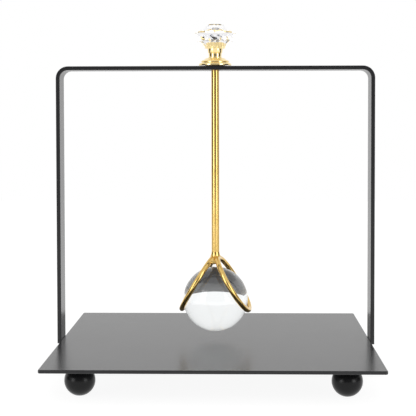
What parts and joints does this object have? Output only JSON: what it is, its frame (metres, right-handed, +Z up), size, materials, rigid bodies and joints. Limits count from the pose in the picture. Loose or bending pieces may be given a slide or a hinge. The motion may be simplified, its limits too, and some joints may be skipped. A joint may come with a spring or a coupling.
{
  "type": "napkin stand with lift-up weight",
  "caption": "Black flat-bar arch over a square plate on ball feet, with a gold rod that lifts and turns by a crystal knob and carries a caged glass ball as a weight.",
  "frame": {"origin": "on the surface the feet stand on, under the middle of the plate", "axes": "+X along the arch from its left leg to its right leg, +Y through the arch from front to back, +Z up along the rod"},
  "size_m": [0.1948, 0.19, 0.213],
  "materials": {
    "black_enamel": "satin black baked enamel",
    "gold_plate": "gold plated wire and rod, softly polished",
    "knob_gold": "turned and mirror polished, gold plated",
    "cut_crystal": "clear, cut and polished",
    "ball_glass": "clear, polished",
    "stud_steel": "zinc plated thread",
    "bush_nylon": "natural nylon"
  },
  "bodies": {
    "stand": {"base_plate": "black_enamel", "arch_frame": "black_enamel", "leg_weld_left": "black_enamel", "leg_weld_right": "black_enamel", "foot_studs": "stud_steel", "foot_front_left": "black_enamel", "foot_front_right": "black_enamel", "foot_rear_left": "black_enamel", "foot_rear_right": "black_enamel"},
    "guide": {"guide_bush": "bush_nylon"},
    "lifter": {"lift_rod": "gold_plate", "cage_ring_left": "gold_plate", "cage_ring_right": "gold_plate", "cage_braze": "gold_plate", "glass_ball": "ball_glass", "knob_stud": "stud_steel", "knob_rose": "knob_gold", "knob_ferrule": "knob_gold", "knob_crystal": "cut_crystal"}
  },
  "joints": [
    {"name": "spin", "type": "hinge", "parent": "stand", "child": "guide", "pos_m": [0, 0, 0.1873], "axis": [0, 0, 1], "continuous": true},
    {"name": "lift", "type": "slide", "parent": "guide", "child": "lifter", "axis": [0, 0, 1], "range_m": [0, 0.111]}
  ]
}
